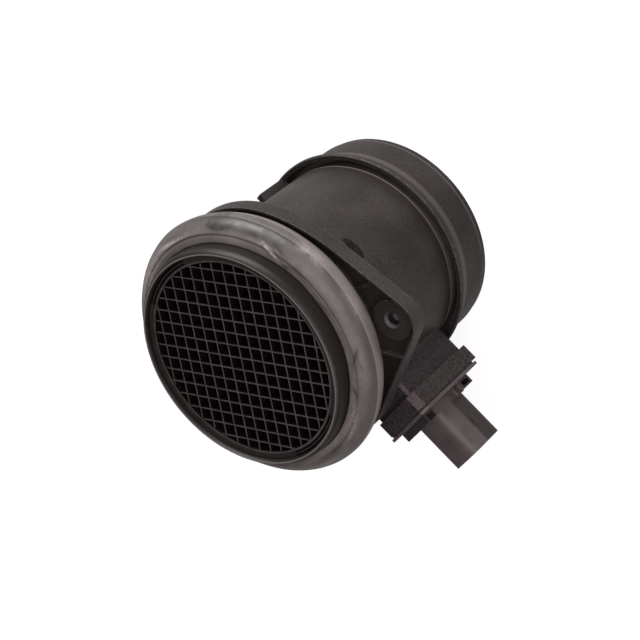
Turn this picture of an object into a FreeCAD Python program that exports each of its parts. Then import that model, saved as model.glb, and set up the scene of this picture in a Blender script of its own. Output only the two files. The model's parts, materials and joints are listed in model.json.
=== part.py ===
"""Plug-in hot-film mass airflow sensor in its moulded duct, a parametric document in millimetres.

+Z runs along the duct from the outlet to the inlet grid, with the origin in the middle of the outlet's
end face. The electrical connector points along -X, and the flange ears lie on a line turned from it.
"""
import FreeCAD, Part
import math
import os
import Sketcher

SIZES = [
    ("bore_r", 40.2, "bore radius of the duct"),
    ("spigot_wall", 2.8, "wall of the outlet spigot at its mouth"),
    ("mouth_step", 2.0, "how much wider the bore's radius is at the outlet's mouth"),
    ("outlet_rim", 3.0, "height of the narrower rim of the outlet"),
    ("rim_step", 0.5, "how far that rim is narrower than the spigot"),
    ("bore_cone", 8.0, "height where the outlet bore starts to narrow"),
    ("tube_wall", 2.7, "wall of the tube"),
    ("flare_start", 16.0, "height where the spigot flares out to its collar"),
    ("flare_rise", 7.2, "height of the flare"),
    ("flare_out", 3.9, "how far the top of the flare stands out from the tube"),
    ("ring_out", 1.0, "how far the ring round the collar's open edge stands out from the flare"),
    ("ring_rise", 0.6, "height over which the flare steps out to that ring"),
    ("collar_top", 25.3, "height of the collar's open edge"),
    ("collar_wall", 1.05, "wall of the collar"),
    ("groove_deep", 7.3, "depth of the groove between the collar and the tube"),
    ("groove_wide", 2.0, "width of that groove at its bottom"),
    ("tube_edge", 0.5, "step at the tube's edge above the groove"),
    ("flange_back", 77.9, "height of the flange pan's back"),
    ("flange_depth", 6.7, "depth of the flange pan's rim"),
    ("flange_floor", 2.0, "thickness of the flange pan's floor"),
    ("flange_wall", 0.9, "wall of the flange pan's rim"),
    ("ear_angle", 56.3, "turn from the locating tab's direction to the ears"),
    ("ear_out", 11.3, "distance of each flange hole's centre from the tube"),
    ("ear_r", 11.0, "corner radius of each ear, round its hole"),
    ("flank_left", 43.2, "turn from the ear's axis to the square of its left flank"),
    ("flank_right", 41.3, "turn from the ear's axis to the square of its right flank"),
    ("side_out", 4.0, "how much larger the flange's round side is than the tube, in radius"),
    ("side_shift", 1.9, "offset of that round side's centre along the right flank"),
    ("side_turn", 76.0, "turn from the right flank to where the side grows flatter"),
    ("boss_r", 8.2, "radius of each screw boss"),
    ("boss_height", 4.1, "height of the screw boss above the pan's back"),
    ("bolt_hole_r", 2.3, "radius of each flange hole"),
    ("bolt_sink", 1.1, "depth and widening of the flange hole's countersink"),
    ("rib_angle", 17.0, "turn from an ear to the rib on each side of it"),
    ("rib_thick", 1.2, "thickness of the ribs in the pan"),
    ("rib_height", 3.7, "height of the ribs above the pan's back"),
    ("shoulder_gap", 2.0, "gap between the flange pan's rim and the shoulder behind the inlet seal"),
    ("shoulder_thick", 2.0, "thickness of that shoulder"),
    ("shoulder_out", 2.5, "how far that shoulder stands out from the tube"),
    ("seal_long", 12.9, "length of the seal's seat, from the shoulder to the inlet collar"),
    ("inlet_collar_out", 2.8, "how far the inlet collar stands out from the tube"),
    ("inlet_collar_long", 9.2, "length of the inlet collar, as far as the inlet rim"),
    ("inlet_rim_in", 1.5, "how far the inlet rim's front edge stands in from the inlet collar"),
    ("inlet_rim_wall", 0.4, "width of the inlet rim's front edge"),
    ("rim_round", 2.4, "height over which the rim rounds in"),
    ("grid_deep", 7.7, "depth of the recess that takes the grid, down to the ledge that carries it"),
    ("grid_ledge", 3.0, "width of the ledge that carries the grid"),
    ("seat_lead", 1.0, "height of the lead-in at the recess mouth"),
    ("grid_frame_height", 5.6, "height of the grid's round frame"),
    ("grid_gap", 0.2, "clearance round the grid's frame in its recess"),
    ("grid_depth", 5.0, "depth of the grid's bars"),
    ("grid_pitch", 5.2, "pitch of the grid's bars"),
    ("grid_bar", 0.55, "thickness of the grid's bars"),
    ("grid_turn", 45.0, "turn of the bars from the locating tab's direction"),
    ("finger_slit", 0.6, "width of the slit that frees each snap finger"),
    ("finger_thick", 0.7, "thickness of the two snap fingers"),
    ("finger_relief", 0.5, "how far the snap fingers stand in from the frame's outer face"),
    ("finger_half_angle", 20.0, "half the arc of each snap finger"),
    ("finger_depth", 3.0, "depth of the slits behind the snap fingers"),
    ("seal_gap", 0.1, "clearance between the seal and the tube"),
    ("seal_back_out", 6.3, "how far the seal's back edge stands out from the shoulder"),
    ("seal_back_rise", 1.2, "height of the seal's back edge above its seat"),
    ("seal_out", 9.1, "how far the seal's outer edge stands out from the shoulder"),
    ("seal_edge_rise", 8.5, "height of the seal's outer edge above its seat"),
    ("seal_back_bulge", 14.0, "radius of the seal's section behind its outer edge"),
    ("seal_face_bulge", 9.0, "radius of the seal's section between its outer edge and the crease"),
    ("seal_crease_out", 3.5, "how far the crease in the seal's face lies out from the shoulder"),
    ("seal_crease_rise", 15.1, "height of the crease's shoulders above the seal's seat"),
    ("seal_crease_half", 0.45, "half width and depth of the crease"),
    ("seal_lip_rise", 15.2, "height of the seal's lip round the inlet collar above the seal's seat"),
    ("tab_top", 40.3, "height of the end of the locating tab"),
    ("tab_out", 4.3, "how far the locating tab stands out from the tube"),
    ("tab_wide", 3.0, "width of the locating tab"),
    ("module_z", 49.7, "height of the sensor module's axis"),
    ("pad_out", 10.5, "distance of the pad's back from the tube"),
    ("pad_thick", 6.9, "thickness of the pad that carries the module"),
    ("pad_wide", 26.2, "width of the pad across the duct"),
    ("pad_long", 41.5, "length of the pad along the duct"),
    ("pad_corner", 2.7, "chamfer of the pad's two corners nearest the inlet"),
    ("tower_corner", 1.1, "chamfer of the tower's two corners nearest the inlet"),
    ("tower_inset", 1.8, "how far the tower stands in from the pad's edge"),
    ("tower_sink", 2.0, "how far the tower's root reaches into the tube's wall"),
    ("socket_wide", 17.0, "width of the socket through the tower"),
    ("socket_long", 32.0, "length of the socket through the tower"),
    ("socket_gap", 0.2, "clearance of the module in its socket"),
    ("foot_thick", 0.7, "thickness of the foot under the module's plate"),
    ("foot_inset", 1.6, "how far the foot stands in from the plate's edge"),
    ("plate_thick", 1.3, "thickness of the module's plate"),
    ("plate_over", 0.5, "how far the plate stands out over the pad"),
    ("block_wide", 16.0, "width of the block on the plate"),
    ("block_long", 33.5, "length of the block on the plate"),
    ("block_shift", 1.3, "offset of the block towards the inlet"),
    ("block_high", 3.8, "height of the block on the plate"),
    ("recess_wall", 0.9, "walls round the two recesses in the block"),
    ("recess_deep", 6.0, "depth of the recesses in the block"),
    ("plug_wide", 16.7, "width of the connector shroud across the duct"),
    ("plug_long", 20.7, "length of the connector shroud along the duct"),
    ("plug_corner", 5.6, "corner radius of the connector shroud"),
    ("plug_wall", 1.6, "wall of the connector shroud"),
    ("plug_shift", 1.45, "offset of the connector towards the inlet"),
    ("plug_out", 24.7, "how far the connector stands out from the module's plate"),
    ("plug_deep", 18.0, "depth of the connector's cavity"),
    ("nub_out", 1.0, "height of the latch nub on the connector"),
    ("nub_wide", 1.4, "width of the latch nub along the duct"),
    ("nub_long", 3.8, "length of the latch nub"),
    ("nub_back", 7.7, "distance of the nub from the connector's end"),
    ("nub_drop", 1.1, "offset of the nub from the connector's axis towards the outlet"),
    ("guide_out", 2.0, "height of the guide ribs beside the connector"),
    ("guide_thick", 1.0, "thickness of the guide ribs"),
    ("guide_space", 4.0, "pitch of the guide ribs"),
    ("guide_drop", 2.2, "offset of the nearer guide rib from the connector's axis towards the outlet"),
    ("guide_long", 4.2, "length of the guide ribs"),
    ("pin_count", 4, "number of terminals"),
    ("pin_pitch", 3.6, "pitch of the terminals"),
    ("pin_wide", 1.2, "width of a terminal"),
    ("pin_thick", 0.6, "thickness of a terminal"),
    ("pin_deep", 6.0, "how far the terminals' tips stand in from the connector's end"),
    ("pin_long", 40.0, "length of the terminals"),
    ("ring_in", 2.9, "depth of the seal ring's outer face in the socket"),
    ("ring_long", 2.2, "length of the module's seal ring"),
    ("ring_thick", 1.7, "thickness of the module's seal ring"),
    ("spigot_in", 14.3, "how far the module's spigot reaches into the socket"),
    ("probe_wide", 11.2, "width of the probe across the duct"),
    ("probe_long", 31.0, "length of the probe along the duct"),
    ("probe_tip", 9.0, "how far the probe reaches past the duct axis"),
    ("cover_thick", 1.5, "thickness of the probe's two covers"),
    ("cover_lap", 1.2, "how far a cover laps over its chamber"),
    ("cover_gap", 0.1, "clearance round each cover"),
    ("chamber_floor", 3.2, "floor left under the probe's chambers"),
    ("chamber_back", 2.0, "distance of the electronics chamber from the spigot's end"),
    ("chamber_in", 17.5, "inner end of the electronics chamber from the duct axis"),
    ("chamber_long", 24.0, "length of the electronics chamber along the duct"),
    ("channel_wide", 6.0, "width of the measuring channel"),
    ("channel_edge", 3.0, "wall between the channel and the probe's tip"),
    ("channel_back", 4.0, "wall between the channel and the probe's outlet side"),
    ("channel_web", 6.5, "web between the channel's two runs"),
    ("channel_stop", 6.0, "wall between the channel's second run and the inlet side"),
    ("vent_long", 5.0, "length of the channel's vent through its cover"),
    ("base_thick", 1.2, "thickness of the metal base plate"),
    ("base_inset", 1.3, "clearance round the base plate in its chamber"),
    ("board_thick", 0.8, "thickness of the circuit board"),
    ("board_inset", 0.6, "how far the board stands in from the base plate"),
    ("board_gap", 0.4, "gap between the board and the element's tongue"),
    ("chip_side", 5.2, "side of the evaluation chip"),
    ("chip_thick", 1.0, "thickness of the evaluation chip"),
    ("capacitor_long", 2.0, "length of a chip capacitor"),
    ("capacitor_wide", 1.2, "width and height of a chip capacitor"),
    ("capacitor_pitch", 4.6, "pitch of the chip capacitors"),
    ("tongue_wide", 4.4, "width of the element's tongue along the duct"),
    ("tongue_lap", 3.5, "how far the tongue lies on the base plate"),
    ("tongue_gap", 0.15, "clearance round the tongue in its slot"),
    ("tongue_free", 4.9, "how far the tongue reaches into the channel"),
    ("element_side", 2.4, "side of the sensor element"),
    ("element_thick", 0.4, "thickness of the sensor element"),
    ("bead_r", 1.1, "radius of the air temperature bead"),
    ("bead_at", 27.0, "distance of the bead from the duct axis"),
    ("bead_off", 1.6, "how far the bead's leads stand off the probe's side"),
    ("bead_shift", 5.0, "offset of the bead towards the inlet"),
    ("lead_r", 0.3, "radius of the bead's leads"),
    ("lead_span", 7.0, "distance of each lead's root from the bead's middle"),
]


class Size:
    """A number of the sheet, or a sum of them, that also holds the expression it comes from."""

    def __init__(self, number, text):
        self.number = number
        self.text = text

    def __add__(self, other):
        other = as_size(other)
        return Size(self.number + other.number, "(%s + %s)" % (self.text, other.text))

    def __sub__(self, other):
        other = as_size(other)
        return Size(self.number - other.number, "(%s - %s)" % (self.text, other.text))

    def __mul__(self, other):
        other = as_size(other)
        return Size(self.number * other.number, "(%s * %s)" % (self.text, other.text))

    def __truediv__(self, other):
        other = as_size(other)
        return Size(self.number / other.number, "(%s / %s)" % (self.text, other.text))

    def __neg__(self):
        return Size(-self.number, "(0 - %s)" % self.text)

    def __rsub__(self, other):
        return as_size(other) - self

    __radd__ = __add__
    __rmul__ = __mul__


def as_size(value):
    return value if isinstance(value, Size) else Size(float(value), repr(float(value)))


def cosine(angle):
    return Size(math.cos(math.radians(angle.number)), "cos(%s * 1 deg)" % angle.text)


def sine(angle):
    return Size(math.sin(math.radians(angle.number)), "sin(%s * 1 deg)" % angle.text)


class Sheet:
    """The sheet's sizes as attributes, such as tube_r."""


doc = FreeCAD.newDocument("mass_airflow_sensor")
sheet = doc.addObject("Spreadsheet::Sheet", "Sizes")
d = Sheet()
for row, (alias, number, words) in enumerate(SIZES, start=1):
    sheet.set("A%d" % row, words)
    sheet.set("B%d" % row, repr(number))
    sheet.setAlias("B%d" % row, alias)
    setattr(d, alias, Size(float(number), "Sizes.%s" % alias))
doc.recompute()

X, Y, Z = 0, 1, 2
ORIGIN = (-1, 1)


def bind(thing, path, size):
    thing.setExpression(path, as_size(size).text)


def plane_of(body, role):
    return [plane for plane in body.Origin.OriginFeatures if plane.Role == role][0]


def place_point(sketch, curve, end, point):
    """Fixes one end of a curve at a point given by two sizes, measured from the sketch's origin."""
    for kind, size in (("DistanceX", point[0]), ("DistanceY", point[1])):
        size = as_size(size)
        if abs(size.number) < 1e-9:
            axis = -2 if kind == "DistanceX" else -1
            sketch.addConstraint(Sketcher.Constraint("PointOnObject", curve, end, axis))
            continue
        if size.number > 0:
            ends = (ORIGIN[0], ORIGIN[1], curve, end)
        else:
            ends = (curve, end, ORIGIN[0], ORIGIN[1])
            size = -size
        index = sketch.addConstraint(Sketcher.Constraint(kind, *ends, size.number))
        bind(sketch, "Constraints[%d]" % index, size)


def draw_outline(sketch, points, arcs=None):
    """Draws a closed outline through points; arcs maps a side's number to its radius.

    A positive radius bulges to the right of the way along the outline, which is outwards on an
    outline that runs anticlockwise, and a negative one bulges inwards.
    """
    arcs = arcs or {}
    ends = []
    for side, point in enumerate(points):
        start = FreeCAD.Vector(as_size(point[0]).number, as_size(point[1]).number, 0)
        after = points[(side + 1) % len(points)]
        stop = FreeCAD.Vector(as_size(after[0]).number, as_size(after[1]).number, 0)
        if side not in arcs:
            curve = sketch.addGeometry(Part.LineSegment(start, stop), False)
            ends.append((curve, 1, 2))
            continue
        radius = as_size(arcs[side])
        chord = stop - start
        normal = FreeCAD.Vector(chord.y, -chord.x, 0).normalize()
        sagitta_leg = math.sqrt(max(radius.number ** 2 - (chord.Length / 2) ** 2, 0.0))
        outwards = radius.number > 0
        centre = (start + stop) * 0.5 - normal * sagitta_leg * (1 if outwards else -1)
        first, last = (start, stop) if outwards else (stop, start)
        angle_from = math.atan2(first.y - centre.y, first.x - centre.x)
        angle_to = math.atan2(last.y - centre.y, last.x - centre.x)
        if angle_to < angle_from:
            angle_to += 2 * math.pi
        circle = Part.Circle(centre, FreeCAD.Vector(0, 0, 1), abs(radius.number))
        curve = sketch.addGeometry(Part.ArcOfCircle(circle, angle_from, angle_to), False)
        ends.append((curve, 1, 2) if outwards else (curve, 2, 1))
        size = radius if outwards else -radius
        index = sketch.addConstraint(Sketcher.Constraint("Radius", curve, size.number))
        bind(sketch, "Constraints[%d]" % index, size)
    for side, (curve, start_end, stop_end) in enumerate(ends):
        place_point(sketch, curve, start_end, points[side])
        after = ends[(side + 1) % len(ends)]
        sketch.addConstraint(Sketcher.Constraint("Coincident", curve, stop_end, after[0], after[1]))


def draw_circle(sketch, centre, radius):
    middle = FreeCAD.Vector(as_size(centre[0]).number, as_size(centre[1]).number, 0)
    circle = Part.Circle(middle, FreeCAD.Vector(0, 0, 1), radius.number)
    curve = sketch.addGeometry(circle, False)
    index = sketch.addConstraint(Sketcher.Constraint("Radius", curve, radius.number))
    bind(sketch, "Constraints[%d]" % index, radius)
    place_point(sketch, curve, 3, centre)


def new_sketch(body, name, role, offset=0.0, turn=None):
    """A sketch on one of the body's origin planes, moved along the plane's normal and turned in it."""
    sketch = body.newObject("Sketcher::SketchObject", name)
    sketch.AttachmentSupport = [(plane_of(body, role), "")]
    sketch.MapMode = "FlatFace"
    offset = as_size(offset)
    turn = as_size(turn if turn is not None else 0.0)
    sketch.AttachmentOffset = FreeCAD.Placement(
        FreeCAD.Vector(0, 0, offset.number),
        FreeCAD.Rotation(FreeCAD.Vector(0, 0, 1), turn.number))
    bind(sketch, "AttachmentOffset.Base.z", offset)
    if turn.number:
        bind(sketch, "AttachmentOffset.Rotation.Angle", turn)
    return sketch


def check_change(body, before, adds):
    """Stops when a feature changed nothing, which a wrong direction would do without an error."""
    doc.recompute()
    change = body.Shape.Volume - before
    if (change <= 1e-6) if adds else (change >= -1e-6):
        raise RuntimeError("the last feature of %s changed nothing" % body.Label)


def extrude(body, sketch, kind, length, reverse=False):
    """Pads or pockets a sketch by a length, along the sketch's normal or, reversed, against it."""
    before = body.Shape.Volume if body.Tip else 0.0
    feature = body.newObject("PartDesign::" + kind, sketch.Name + kind)
    feature.Profile = sketch
    length = as_size(length)
    feature.Length = length.number
    bind(feature, "Length", length)
    feature.Reversed = reverse if kind == "Pad" else not reverse
    check_change(body, before, kind == "Pad")
    return feature


def revolve(body, sketch):
    feature = body.newObject("PartDesign::Revolution", sketch.Name + "Revolution")
    feature.Profile = sketch
    feature.ReferenceAxis = (sketch, ["V_Axis"])
    feature.Angle = 360
    doc.recompute()
    return feature


def new_body(name):
    body = doc.addObject("PartDesign::Body", name)
    body.Label = name
    return body


def solid_box(name, low, high):
    """A Part box between two corners given by sizes."""
    box = doc.addObject("Part::Box", name)
    for axis, side, word in ((X, "Length", "x"), (Y, "Width", "y"), (Z, "Height", "z")):
        bind(box, side, as_size(high[axis]) - low[axis])
        bind(box, "Placement.Base." + word, low[axis])
    return box


def solid_cylinder(name, radius, height, foot, axis):
    """A Part cylinder of a radius and height that stands on a foot point along one axis."""
    rod = doc.addObject("Part::Cylinder", name)
    bind(rod, "Radius", radius)
    bind(rod, "Height", height)
    turns = {X: (FreeCAD.Vector(0, 1, 0), 90), Y: (FreeCAD.Vector(1, 0, 0), -90),
             Z: (FreeCAD.Vector(0, 0, 1), 0)}
    rod.Placement = FreeCAD.Placement(FreeCAD.Vector(), FreeCAD.Rotation(*turns[axis]))
    for index, word in enumerate("xyz"):
        bind(rod, "Placement.Base." + word, foot[index])
    return rod


def fused(name, shapes):
    joined = doc.addObject("Part::MultiFuse", name)
    joined.Shapes = shapes
    joined.Refine = True
    return joined


def cut(name, base, tool):
    result = doc.addObject("Part::Cut", name)
    result.Base = base
    result.Tool = tool
    return result


def rectangle(half_x, half_y, centre_y=0.0):
    """Corners of a rectangle, anticlockwise, centred on the sketch's vertical axis."""
    low, high = centre_y - half_y, half_y + centre_y
    return [(-half_x, low), (half_x, low), (half_x, high), (-half_x, high)]


def chamfered(half_x, half_y, corner, centre_y):
    """Corners of a rectangle with cut corners."""
    low, high = centre_y - half_y, half_y + centre_y
    return [(corner - half_x, low), (half_x - corner, low), (half_x, low + corner),
            (half_x, high - corner), (half_x - corner, high), (corner - half_x, high),
            (-half_x, high - corner), (-half_x, low + corner)]


def rounded(half_x, half_y, corner, centre_y):
    """The same outline with its cut corners made arcs."""
    arcs = {side: corner for side in (1, 3, 5, 7)}
    return chamfered(half_x, half_y, corner, centre_y), arcs


def topped(half_x, half_y, corner, centre_y):
    """Corners of a rectangle whose two upper corners are cut."""
    low, high = centre_y - half_y, half_y + centre_y
    return [(-half_x, low), (half_x, low), (half_x, high - corner), (half_x - corner, high),
            (corner - half_x, high), (-half_x, high - corner)]


# Radii, heights and distances that several pieces share, each from the bore and the walls round it.
outlet_bore_r = d.bore_r + d.mouth_step
outlet_r = outlet_bore_r + d.spigot_wall
tube_r = d.bore_r + d.tube_wall
flare_r = tube_r + d.flare_out
collar_r = flare_r + d.ring_out
shoulder_r = tube_r + d.shoulder_out
inlet_collar_r = tube_r + d.inlet_collar_out
inlet_rim_r = inlet_collar_r - d.inlet_rim_in
grid_seat_r = d.bore_r + d.grid_ledge
grid_frame_r = grid_seat_r - d.grid_gap
seal_back_r = shoulder_r + d.seal_back_out
seal_r = shoulder_r + d.seal_out
seal_crease_r = shoulder_r + d.seal_crease_out
flange_side_r = tube_r + d.side_out
ear_reach = tube_r + d.ear_out
tab_r = tube_r + d.tab_out
groove_floor = d.collar_top - d.groove_deep
flare_top = d.flare_start + d.flare_rise
ring_base = flare_top + d.ring_rise
shoulder_base = d.flange_back + d.flange_depth + d.shoulder_gap
seal_seat = shoulder_base + d.shoulder_thick
inlet_collar_base = seal_seat + d.seal_long
inlet_top = inlet_collar_base + d.inlet_collar_long
grid_seat = inlet_top - d.grid_deep
boss_face = d.flange_back + d.boss_height
pad_back = tube_r + d.pad_out
tower_root = tube_r - d.tower_sink
pad_face = pad_back + d.pad_thick
plate_back = pad_face + d.foot_thick
plate_face = plate_back + d.plate_thick
block_face = plate_face + d.block_high
plug_end = plate_face + d.plug_out
pin_tip = plug_end - d.pin_deep
pin_root = pin_tip - d.pin_long
ring_back = pad_face - d.ring_in
spigot_end = pad_face - d.spigot_in
chamber_out = spigot_end - d.chamber_back
plug_z = d.module_z + d.plug_shift
block_z = d.module_z + d.block_shift


def from_point(point, distance, angle):
    """The point at a distance from another one, in the direction of an angle."""
    return (point[0] + distance * cosine(angle), point[1] + distance * sine(angle))


def flange_outline(inset):
    """The flange's outline set in by a wall, point for point the same when turned half round.

    The sketch's x axis runs through the ears. Each side of the flange is a round arc that touches
    one ear's right flank, and a flatter arc that touches the other ear's left flank.
    """
    right = -d.flank_right
    left = d.flank_left - 180.0
    bend = right - d.side_turn
    right_reach = ear_reach * cosine(right) + d.ear_r
    left_reach = ear_reach * cosine(d.flank_left) + d.ear_r
    centre = from_point(from_point((0.0, 0.0), right_reach - flange_side_r, right), d.side_shift,
                        right - 90.0)
    along = centre[0] * cosine(left) + centre[1] * sine(left)
    spread = cosine(left - bend)
    flat_r = (left_reach - along - flange_side_r * spread) / (1.0 - spread)
    flat_centre = from_point(centre, flange_side_r - flat_r, bend)
    ear = (ear_reach, Size(0.0, "0"))
    corner_r, side_r, flat_r = d.ear_r - inset, flange_side_r - inset, flat_r - inset
    half = [from_point(ear, corner_r, right), from_point(ear, corner_r, d.flank_left)]
    far = [from_point(flat_centre, flat_r, left), from_point(centre, side_r, bend),
           from_point(centre, side_r, right)]
    turned = [(-point[0], -point[1]) for point in far]
    first = half + turned
    points = first + [(-point[0], -point[1]) for point in first]
    arcs = {0: corner_r, 2: flat_r, 3: side_r, 5: corner_r, 7: flat_r, 8: side_r}
    return points, arcs


def make_housing():
    """Moulded duct: spigot with its collar, tube, flange pan, seal groove, inlet collar and tower."""
    body = new_body("housing")
    wall = new_sketch(body, "duct_wall", "XZ_Plane")
    rim_r = outlet_r - d.rim_step
    groove_r = tube_r - d.tube_edge
    seat_top = inlet_top - d.seat_lead
    edge = d.tube_edge
    narrow = outlet_bore_r - d.bore_r
    collar_inner = flare_r - d.collar_wall
    draw_outline(wall, [
        (outlet_bore_r, 0.0),
        (rim_r - edge, 0.0),
        (rim_r, edge),
        (rim_r, d.outlet_rim),
        (outlet_r, d.outlet_rim + d.rim_step),
        (outlet_r, d.flare_start),
        (flare_r, flare_top),
        (collar_r, ring_base),
        (collar_r, d.collar_top - edge),
        (collar_r - edge, d.collar_top),
        (collar_inner, d.collar_top),
        (collar_inner, flare_top),
        (groove_r + d.groove_wide, groove_floor),
        (groove_r, groove_floor),
        (groove_r, d.collar_top - edge - edge),
        (tube_r, d.collar_top - edge),
        (tube_r, shoulder_base),
        (shoulder_r, shoulder_base),
        (shoulder_r, seal_seat),
        (tube_r, seal_seat),
        (tube_r, inlet_collar_base),
        (inlet_collar_r, inlet_collar_base),
        (inlet_collar_r, inlet_top - d.rim_round),
        (inlet_rim_r, inlet_top),
        (inlet_rim_r - d.inlet_rim_wall, inlet_top),
        (grid_seat_r, seat_top),
        (grid_seat_r, grid_seat),
        (d.bore_r, grid_seat),
        (d.bore_r, d.bore_cone + narrow + narrow),
        (outlet_bore_r, d.bore_cone),
    ], {22: d.rim_round * 1.5})
    revolve(body, wall)

    floor = new_sketch(body, "flange_floor", "XY_Plane", d.flange_back, d.ear_angle)
    draw_outline(floor, *flange_outline(0.0))
    draw_circle(floor, (0.0, 0.0), (tube_r + d.bore_r) / 2)
    extrude(body, floor, "Pad", d.flange_floor)

    rim = new_sketch(body, "flange_rim", "XY_Plane", d.flange_back, d.ear_angle)
    draw_outline(rim, *flange_outline(0.0))
    draw_outline(rim, *flange_outline(d.flange_wall))
    extrude(body, rim, "Pad", d.flange_depth)

    boss = new_sketch(body, "flange_boss", "XY_Plane", d.flange_back, d.ear_angle)
    for side in (1.0, -1.0):
        draw_circle(boss, (ear_reach * side, 0.0), d.boss_r)
    extrude(body, boss, "Pad", d.boss_height)

    for index, (turn, flank) in enumerate(((d.rib_angle, d.flank_left),
                                           (-d.rib_angle, -d.flank_right))):
        rib = new_sketch(body, "flange_rib_%d" % (index + 1), "XY_Plane", d.flange_back,
                         d.ear_angle + turn)
        inner = (tube_r + d.bore_r) / 2
        reach = ear_reach * cosine(flank) + d.ear_r - d.flange_wall / 2
        outer = reach / cosine(flank - turn)
        half = d.rib_thick / 2
        draw_outline(rib, [(inner, -half), (outer, -half), (outer, half), (inner, half)])
        draw_outline(rib, [(-outer, -half), (-inner, -half), (-inner, half), (-outer, half)])
        extrude(body, rib, "Pad", d.rib_height)

    hole = new_sketch(body, "flange_hole", "XY_Plane", d.flange_back, d.ear_angle)
    for side in (1.0, -1.0):
        draw_circle(hole, (ear_reach * side, 0.0), d.bolt_hole_r)
    extrude(body, hole, "Pocket", d.boss_height)
    for index, side in enumerate((1.0, -1.0)):
        before = body.Shape.Volume
        sink = body.newObject("PartDesign::SubtractiveCone", "flange_sink_%d" % (index + 1))
        bind(sink, "Radius1", d.bolt_hole_r)
        bind(sink, "Radius2", d.bolt_hole_r + d.bolt_sink)
        bind(sink, "Height", d.bolt_sink)
        bind(sink, "Placement.Base.x", ear_reach * side * cosine(d.ear_angle))
        bind(sink, "Placement.Base.y", ear_reach * side * sine(d.ear_angle))
        bind(sink, "Placement.Base.z", boss_face - d.bolt_sink)
        check_change(body, before, False)

    tab = new_sketch(body, "locating_tab", "XY_Plane", ring_base)
    half = d.tab_wide / 2
    inner = (tube_r + d.bore_r) / 2
    draw_outline(tab, [(inner, -half), (tab_r, -half), (tab_r, half), (inner, half)])
    extrude(body, tab, "Pad", d.tab_top - ring_base)

    tower = new_sketch(body, "tower", "YZ_Plane", -pad_back)
    draw_outline(tower, topped(d.pad_wide / 2 - d.tower_inset, d.pad_long / 2 - d.tower_inset,
                               d.tower_corner, d.module_z))
    extrude(body, tower, "Pad", pad_back - tower_root)
    pad = new_sketch(body, "tower_pad", "YZ_Plane", -pad_back)
    draw_outline(pad, topped(d.pad_wide / 2, d.pad_long / 2, d.pad_corner, d.module_z))
    extrude(body, pad, "Pad", d.pad_thick, reverse=True)
    socket = new_sketch(body, "socket", "YZ_Plane", -pad_face)
    draw_outline(socket, rectangle(d.socket_wide / 2, d.socket_long / 2, d.module_z))
    extrude(body, socket, "Pocket", pad_face - d.bore_r / 2)
    return body


def round_slot(inner_r, outer_r, half_angle):
    """Outline between two arcs round the duct's axis, half_angle to each side of the sketch's x axis."""
    across, up = cosine(half_angle), sine(half_angle)
    points = [(inner_r * across, -inner_r * up), (outer_r * across, -outer_r * up),
              (outer_r * across, outer_r * up), (inner_r * across, inner_r * up)]
    return points, {1: outer_r, 3: -inner_r}


def make_grid():
    """Flow straightener: crossed bars in a round frame with two snap fingers."""
    frame = new_body("grid_frame")
    ring = new_sketch(frame, "grid_ring", "XY_Plane", grid_seat)
    draw_circle(ring, (0.0, 0.0), grid_frame_r)
    draw_circle(ring, (0.0, 0.0), d.bore_r)
    extrude(frame, ring, "Pad", d.grid_frame_height)
    finger_r = grid_frame_r - d.finger_relief
    outside_r = finger_r - d.finger_thick
    inside_r = outside_r - d.finger_slit
    for index, side in enumerate((0.0, 180.0)):
        slit = new_sketch(frame, "finger_slit_%d" % (index + 1), "XY_Plane",
                          grid_seat + d.grid_frame_height - d.finger_depth, side)
        draw_outline(slit, *round_slot(inside_r, outside_r, d.finger_half_angle))
        draw_outline(slit, *round_slot(finger_r, grid_frame_r + d.grid_gap, d.finger_half_angle))
        extrude(frame, slit, "Pocket", d.finger_depth)

    # Each family of bars is trimmed inside the frame's wall before the two are joined to it.
    reach = int(d.bore_r.number / d.grid_pitch.number)
    trim_r = (d.bore_r + inside_r) / 2
    families = []
    for family, turn in enumerate((d.grid_turn, d.grid_turn + 90.0)):
        bars = []
        for step in range(-reach, reach + 1):
            across = d.grid_pitch * float(step) - d.grid_bar / 2
            bar = doc.addObject("Part::Box", "grid_bar_%d_%d" % (family + 1, step + reach + 1))
            bind(bar, "Length", grid_frame_r * 2)
            bind(bar, "Width", d.grid_bar)
            bind(bar, "Height", d.grid_depth)
            bar.Placement = FreeCAD.Placement(
                FreeCAD.Vector(), FreeCAD.Rotation(FreeCAD.Vector(0, 0, 1), turn.number))
            bind(bar, "Placement.Rotation.Angle", turn)
            bind(bar, "Placement.Base.x", -grid_frame_r * cosine(turn) - across * sine(turn))
            bind(bar, "Placement.Base.y", across * cosine(turn) - grid_frame_r * sine(turn))
            bind(bar, "Placement.Base.z", grid_seat)
            bars.append(bar)
        group = doc.addObject("Part::Compound", "grid_bars_%d" % (family + 1))
        group.Links = bars
        trimmed = doc.addObject("Part::Common", "grid_family_%d" % (family + 1))
        trimmed.Base = group
        trimmed.Tool = solid_cylinder("grid_trim_%d" % (family + 1), trim_r, d.grid_depth,
                                      (0.0, 0.0, grid_seat), Z)
        families.append(trimmed)
    return fused("inlet_grid", [frame] + families)


def make_seal():
    """Rubber ring behind the inlet collar: a bulb, a crease in its face, and a lip round the collar."""
    body = new_body("inlet_seal")
    section = new_sketch(body, "seal_section", "XZ_Plane")
    inner = tube_r + d.seal_gap
    lip = inlet_collar_r + d.seal_gap
    crease = seal_seat + d.seal_crease_rise
    half = d.seal_crease_half
    draw_outline(section, [
        (inner, seal_seat),
        (shoulder_r, seal_seat),
        (seal_back_r, seal_seat + d.seal_back_rise),
        (seal_r, seal_seat + d.seal_edge_rise),
        (seal_crease_r + half, crease),
        (seal_crease_r, crease - half),
        (seal_crease_r - half, crease),
        (lip, seal_seat + d.seal_lip_rise),
        (lip, inlet_collar_base),
        (inner, inlet_collar_base),
    ], {2: d.seal_back_bulge, 3: d.seal_face_bulge})
    revolve(body, section)
    return body


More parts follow.
